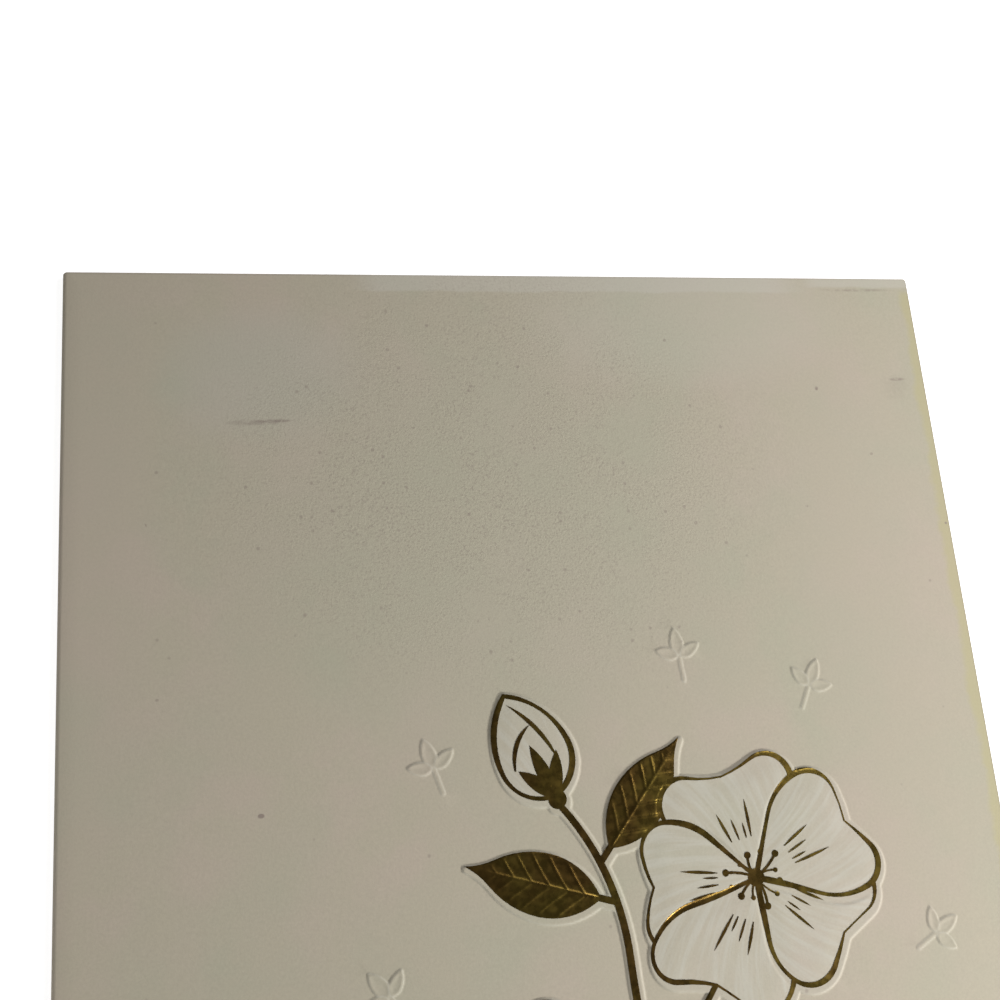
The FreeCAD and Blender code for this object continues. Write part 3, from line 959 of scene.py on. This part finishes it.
board = {
    "base": (0.448, 0.412, 0.318),
    "green": (0.425, 0.410, 0.312),
    "mauve": (0.468, 0.412, 0.332),
    "cool": (0.438, 0.428, 0.355),
    "pale": (0.478, 0.475, 0.385),
    # pale pearl of the petals, also the colour of the painted highlight on the bevels
    "pearlAndBevelHighlight": (0.535, 0.530, 0.460),
    "yellow": (0.455, 0.418, 0.225),
    "lighter": (0.515, 0.498, 0.432),
    # painted shade along the very edge
    "edgeShadeColour": (0.300, 0.262, 0.220),
    # colour of smudges, grit and specks, and of the painted shadow below one smear
    "smudgeAndShadow": (0.280, 0.235, 0.198),
    "fibre": ((0.905, 0.905, 0.90), (1.095, 1.095, 1.095)),
    "roughness": 0.72,
    "specular": 0.30,
    "bump": 0.55,
    "bumpHeight": 0.03,
    # noise: scale, detail and roughness
    "mottle": (38.0, 3.0, 0.55),
    "patches": (120.0, 4.0, 0.6),
    "fibreNoise": (2700.0, 2.0, 0.7),
    "wander": (170.0, 4.0, 0.65),
    "breakUp": (900.0, 3.0, 0.7),
    "grit": (3100.0, 2.0, 0.6),
    "streaks": (1.0, 3.0, 0.6),
    "streakScale": (0.09, 0.80, 1.0),  # along and across the petal
    "pearlStreaks": ((0.38, 0.68), 0.42, 0.18),  # ends of the noise, share added, least share
    "streakBump": 0.6,
    # bands along the edges, the yellowed one, the painted edge shade and the lighter ones at the top:
    # where each fades in, from an edge or from the card's middle, and its share
    "wanderReach": 3.2,
    "yellowBand": (2.2, 0.9),
    "yellowFromTop": (1.6, 3.0),
    "yellowShare": 0.62,
    # painted shade: a darker line round the very edge of the front
    "edgeShade": (0.34, 0.10),
    "edgeShadeShares": [("fromRight", 0.45), ("fromTop", 0.42), ("fromLeft", 0.20)],
    "topBand": (2.7, 2.2),
    "topBandStart": (-26.0, -20.0),
    "topBandEnd": (48.0, 38.0),
    "topWander": 0.35,
    "cornerBand": (1.7, 1.2),
    "cornerBandStart": (44.0, 48.0),
    "lighterBandShare": 0.52,
    # places from the card's top left, half length, half width and strength
    "clouds": [
        (26.0, 15.0, 17.0, 12.0, 0.55, "cool"),
        (56.0, 36.0, 40.0, 36.0, 0.55, "green"),
        (88.0, 7.0, 30.0, 13.0, 0.38, "pale"),
        (3.0, 30.0, 11.0, 60.0, 0.45, "mauve"),
        (116.0, 55.0, 20.0, 50.0, 0.30, "mauve"),
    ],
    "marks": [
        (25.0, 21.85, 4.9, 0.52, 0.50),
        (27.4, 21.72, 3.3, 0.30, 0.85),
        (118.0, 1.95, 7.5, 0.32, 0.55),
        (122.3, 16.9, 1.7, 0.34, 0.80),
        # painted shadow: a soft grey shade below the smear above
        (121.9, 18.2, 3.2, 2.6, 0.16),
        (24.3, 73.1, 0.50, 0.36, 1.8),
        (108.5, 18.2, 0.34, 0.42, 1.1),
        (115.9, 28.8, 0.32, 0.28, 1.1),
        (126.4, 40.0, 0.30, 0.26, 0.9),
        (61.0, 44.0, 0.34, 0.30, 0.8),
        (104.0, 36.5, 0.34, 0.24, 0.7),
        (12.0, 58.0, 0.30, 0.24, 0.7),
    ],
    "roughPatch": (58.0, 30.0, 50.0, 38.0),
    # grit and specks: what the rough patch adds, and what there is all over
    "gritShare": (0.39, 0.05),
    "gritBump": 2.2,
    "speckCells": 700.0,
    "speckSize": (0.24, 0.10),
    "speckRarity": (-0.22, 0.988),
    "speckShare": 0.52,
}


def spreadMm(tree, value, ends):
    return spread(tree, value, ends[0] * mm, ends[1] * mm)


def blob(skin, atX, atY, halfLength, halfWidth):
    # a soft spot on the front, 1 in its middle, placed from the card's top left in millimetres
    tree = skin["tree"]
    centreX = (atX - sheet["width"] / 2) * mm
    centreY = (sheet["height"] / 2 - atY) * mm
    alongX = calc(tree, "DIVIDE", calc(tree, "SUBTRACT", skin["x"], centreX), halfLength * mm)
    alongY = calc(tree, "DIVIDE", calc(tree, "SUBTRACT", skin["y"], centreY), halfWidth * mm)
    square = calc(tree, "ADD", calc(tree, "POWER", alongX, 2.0), calc(tree, "POWER", alongY, 2.0))
    return times(tree, spread(tree, square, 1.0, 0.0), skin["front"])


def outsideSkin(tree, place, patches, fibre):
    # what the finishes of the outside share
    parts = addNode(tree, "ShaderNodeSeparateXYZ", {"Vector": place})
    x, y = parts.outputs["X"], parts.outputs["Y"]
    edgeX, edgeY = sheet["width"] / 2 * mm, sheet["height"] / 2 * mm
    wander = noise(tree, place, *board["wander"])
    return {
        "tree": tree,
        "place": place,
        "x": x,
        "y": y,
        "fromLeft": calc(tree, "ADD", edgeX, x),
        "fromRight": calc(tree, "SUBTRACT", edgeX, x),
        "fromTop": calc(tree, "SUBTRACT", edgeY, y),
        "wander": times(tree, calc(tree, "SUBTRACT", wander, 0.5), board["wanderReach"] * mm),
        "front": attributeOf(tree, "front"),
        "pearlAndBevelHighlight": attributeOf(tree, "pearlAndBevelHighlight"),
        "grain": attributeOf(tree, "grain", "Vector"),
        "patches": patches,
        "fibre": fibre,
    }


def tintPearlAndHighlight(skin, colour):
    # soft streaks that run along each petal, and the painted highlight on the bevels of the pressing in
    # the same pale colour
    tree = skin["tree"]
    inputs = {0: skin["grain"], 1: board["streakScale"]}
    streakPlace = addNode(tree, "ShaderNodeVectorMath", inputs, operation="MULTIPLY").outputs[0]
    streak = noise(tree, streakPlace, *board["streaks"])
    ends, strongest, least = board["pearlStreaks"]
    strength = calc(tree, "MULTIPLY_ADD", spread(tree, streak, *ends), strongest, least)
    share = times(tree, skin["pearlAndBevelHighlight"], strength, clamp=True)
    height = times(tree, streak, skin["pearlAndBevelHighlight"], board["streakBump"])
    return tint(tree, share, colour, board["pearlAndBevelHighlight"]), height


def broadClouds(skin, colour):
    for *spot, share, key in board["clouds"]:
        colour = tint(skin["tree"], times(skin["tree"], blob(skin, *spot), share), colour, board[key])
    return colour


def yellowingAndEdgeShade(skin, colour):
    # yellowed band down the opening edge, and painted shade as a darker line round the very edge
    tree, front = skin["tree"], skin["front"]
    wavyRight = calc(tree, "ADD", skin["fromRight"], skin["wander"])
    belowTop = spreadMm(tree, skin["fromTop"], board["yellowFromTop"])
    band = times(tree, spreadMm(tree, wavyRight, board["yellowBand"]), front, belowTop)
    colour = tint(tree, times(tree, band, board["yellowShare"]), colour, board["yellow"])
    for side, share in board["edgeShadeShares"]:
        edgeShade = times(tree, spreadMm(tree, skin[side], board["edgeShade"]), front)
        colour = tint(tree, times(tree, edgeShade, share), colour, board["edgeShadeColour"])
    return colour


def lighterTopBand(skin, colour):
    # a lighter band along the top, narrower at the right end, over the crease there
    tree, x = skin["tree"], skin["x"]
    wavyTop = calc(tree, "MULTIPLY_ADD", skin["wander"], board["topWander"], skin["fromTop"])
    start, end = spreadMm(tree, x, board["topBandStart"]), spreadMm(tree, x, board["topBandEnd"])
    topBand = times(tree, spreadMm(tree, wavyTop, board["topBand"]), start, end)
    cornerStart = spreadMm(tree, x, board["cornerBandStart"])
    cornerBand = times(tree, spreadMm(tree, wavyTop, board["cornerBand"]), cornerStart)
    lighterBand = times(tree, calc(tree, "MAXIMUM", topBand, cornerBand), skin["front"])
    return tint(tree, times(tree, lighterBand, board["lighterBandShare"]), colour, board["lighter"])


def marksAndPaintedShadow(skin, colour):
    # handling smudges, and a painted shadow below one of them
    tree = skin["tree"]
    breakUp = spread(tree, noise(tree, skin["place"], *board["breakUp"]), 0.30, 0.60)
    for *spot, depth in board["marks"]:
        broken = times(tree, blob(skin, *spot), breakUp)
        colour = tint(tree, times(tree, broken, depth, clamp=True), colour, board["smudgeAndShadow"])
    return colour


def gritAndSpecks(skin, colour):
    # grit all over, thick on one roughened patch, and single specks
    tree, place = skin["tree"], skin["place"]
    uneven = times(tree, blob(skin, *board["roughPatch"]), spread(tree, skin["patches"], 0.24, 0.58))
    grit = spread(tree, noise(tree, place, *board["grit"]), 0.50, 0.68)
    gritShare = times(tree, grit, calc(tree, "MULTIPLY_ADD", uneven, *board["gritShare"]))
    colour = tint(tree, gritShare, colour, board["smudgeAndShadow"])
    cells = addNode(tree, "ShaderNodeTexVoronoi", {"Vector": place, "Scale": board["speckCells"]})
    speck = spread(tree, cells.outputs["Distance"], *board["speckSize"])
    pick = addNode(tree, "ShaderNodeSeparateColor", {"Color": cells.outputs["Color"]}).outputs[0]
    rarity = calc(tree, "MULTIPLY_ADD", uneven, *board["speckRarity"])
    chosen = calc(tree, "GREATER_THAN", pick, rarity)
    speckShare = times(tree, speck, chosen, skin["front"], board["speckShare"])
    colour = tint(tree, speckShare, colour, board["smudgeAndShadow"])
    return colour, times(tree, skin["fibre"], uneven, board["gritBump"])


def boardMaterial(name, isOutside):
    material, tree, shader = startMaterial(name)
    place = addNode(tree, "ShaderNodeTexCoord").outputs["Object"]
    mottle = noise(tree, place, *board["mottle"])
    patches = noise(tree, place, *board["patches"])
    fibre = noise(tree, place, *board["fibreNoise"])
    colour = tint(tree, spread(tree, mottle, 0.38, 0.62), board["green"], board["mauve"])
    colour = tint(tree, spread(tree, patches, 0.30, 0.70), colour, board["base"])
    colour = tint(tree, 1.0, colour, tint(tree, fibre, *board["fibre"]), "MULTIPLY")
    height = fibre
    if isOutside:
        skin = outsideSkin(tree, place, patches, fibre)
        colour, streakHeight = tintPearlAndHighlight(skin, colour)
        colour = broadClouds(skin, colour)
        colour = yellowingAndEdgeShade(skin, colour)
        colour = lighterTopBand(skin, colour)
        colour = marksAndPaintedShadow(skin, colour)
        colour, roughHeight = gritAndSpecks(skin, colour)
        height = calc(tree, "ADD", calc(tree, "ADD", height, roughHeight), streakHeight)
    addBump(tree, shader, height, board)
    tree.links.new(colour, shader.inputs["Base Color"])
    shader.inputs["Roughness"].default_value = board["roughness"]
    shader.inputs["Specular IOR Level"].default_value = board["specular"]
    return material


cutEdge = {
    "dark": (0.20, 0.17, 0.13),
    "light": (0.34, 0.30, 0.22),
    "noise": (2200.0, 3.0, 0.7),
    "roughness": 0.85,
    "specular": 0.2,
}


def edgeMaterial():
    material, tree, shader = startMaterial("boardCutEdge")
    place = addNode(tree, "ShaderNodeTexCoord").outputs["Object"]
    colour = tint(tree, noise(tree, place, *cutEdge["noise"]), cutEdge["dark"], cutEdge["light"])
    tree.links.new(colour, shader.inputs["Base Color"])
    shader.inputs["Roughness"].default_value = cutEdge["roughness"]
    shader.inputs["Specular IOR Level"].default_value = cutEdge["specular"]
    return material


# the foil's finish

gold = {
    "olive": (0.165, 0.118, 0.026),
    "brown": (0.135, 0.082, 0.022),
    "mottle": ((0.93, 0.93, 0.92), (1.07, 1.07, 1.06)),
    "drift": (140.0, 3.0, 0.55),
    "fineDrift": (700.0, 3.0, 0.6),
    "roughness": (0.24, 0.36),
    "bump": 0.5,
    "bumpHeight": 0.02,
}


def foilMaterial():
    material, tree, shader = startMaterial("goldFoil")
    place = addNode(tree, "ShaderNodeTexCoord").outputs["Object"]
    drift = noise(tree, place, *gold["drift"])
    fineDrift = noise(tree, place, *gold["fineDrift"])
    colour = tint(tree, spread(tree, drift, 0.36, 0.64), gold["olive"], gold["brown"])
    colour = tint(tree, 1.0, colour, tint(tree, fineDrift, *gold["mottle"]), "MULTIPLY")
    rough = spread(tree, fineDrift, 0.3, 0.7, *gold["roughness"])
    addBump(tree, shader, fineDrift, gold)
    tree.links.new(colour, shader.inputs["Base Color"])
    tree.links.new(rough, shader.inputs["Roughness"])
    shader.inputs["Metallic"].default_value = 1.0
    return material


# studio, in metres and watts

studio = {
    "floorSize": 3.0,
    "floorDrop": 0.05 * mm,
    "floorColour": (0.86, 0.86, 0.86, 1),
    "floorGlow": 0.82,
    "ambient": 0.124,
    # name, place, size, power, colour and what it is aimed at
    "lights": [
        ("key", (0.30, -0.25, 0.20), 0.09, 2.20, (1.0, 0.985, 0.965), (0.02, 0.0, 0.0)),
        ("side", (0.20, 0.10, 0.20), 0.14, 0.44, (1.0, 0.97, 0.98), (0.02, 0.0, 0.0)),
        ("foldFill", (-0.30, -0.02, 0.03), 0.10, 0.25, (1.0, 0.97, 0.96), (-0.06, 0.0, 0.0)),
    ],
}


def makeFloor():
    bpy.ops.mesh.primitive_plane_add(size=studio["floorSize"], location=(0, 0, -studio["floorDrop"]))
    floor = bpy.context.object
    floor.name = "floor"
    material, tree, shader = startMaterial("paleFloor")
    isCamera = addNode(tree, "ShaderNodeLightPath").outputs["Is Camera Ray"]
    shader.inputs["Base Color"].default_value = studio["floorColour"]
    shader.inputs["Roughness"].default_value = 0.9
    shader.inputs["Specular IOR Level"].default_value = 0.0
    shader.inputs["Emission Color"].default_value = (1, 1, 1, 1)
    tree.links.new(times(tree, isCamera, studio["floorGlow"]), shader.inputs["Emission Strength"])
    floor.data.materials.append(material)


def makeLight(name, place, size, power, colour, target):
    bpy.ops.object.light_add(type="AREA", location=place)
    light = bpy.context.object
    light.name = name
    light.data.size = size
    light.data.energy = power
    light.data.color = colour
    light.visible_camera = False
    way = np.array(target) - np.array(place)
    flat = math.hypot(way[0], way[1])
    light.rotation_euler = (math.atan2(flat, -way[2]), 0, math.atan2(way[1], way[0]) - math.pi / 2)


def makeWorld():
    # white behind the card for the camera, and faint for everything else
    world = bpy.data.worlds.new("studio")
    world.use_nodes = True
    tree = world.node_tree
    isCamera = addNode(tree, "ShaderNodeLightPath").outputs["Is Camera Ray"]
    strength = calc(tree, "MULTIPLY_ADD", isCamera, 1 - studio["ambient"], studio["ambient"])
    background = tree.nodes["Background"]
    background.inputs["Color"].default_value = (1.0, 1.0, 1.0, 1)
    tree.links.new(strength, background.inputs["Strength"])
    bpy.context.scene.world = world


view = {
    "place": (-35.538 * mm, 24.752 * mm, 135.363 * mm),
    "turn": (13.5422, -11.6058, -4.6609),
    "lens": 36.0,
    "sensor": 36.0,
    "clip": (0.005, 20.0),
}


def makeCamera():
    bpy.ops.object.camera_add(location=view["place"], rotation=[math.radians(t) for t in view["turn"]])
    camera = bpy.context.object
    camera.name = "photoCamera"
    camera.data.sensor_width = view["sensor"]
    camera.data.lens = view["lens"]
    camera.data.clip_start, camera.data.clip_end = view["clip"]
    bpy.context.scene.camera = camera


motifs = sprayMotifs()
print("drawing:", len(motifs), "motifs")

relief = reliefPoints(motifs)
print("relief:", len(relief), "points")

cardPiece = foldedCard(motifs, relief)
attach(cardPiece, "root")
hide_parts("folded_card")
print("card:", len(cardPiece.data.polygons), "faces")

foilPiece = goldFoil(motifs, relief)
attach(foilPiece, "root")
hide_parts("gold_foil_print")
print("foil:", len(foilPiece.data.polygons), "faces")

makeFloor()
for light in studio["lights"]:
    makeLight(*light)
makeWorld()
makeCamera()
bpy.context.scene.view_settings.view_transform = "Standard"
print("studio and camera")
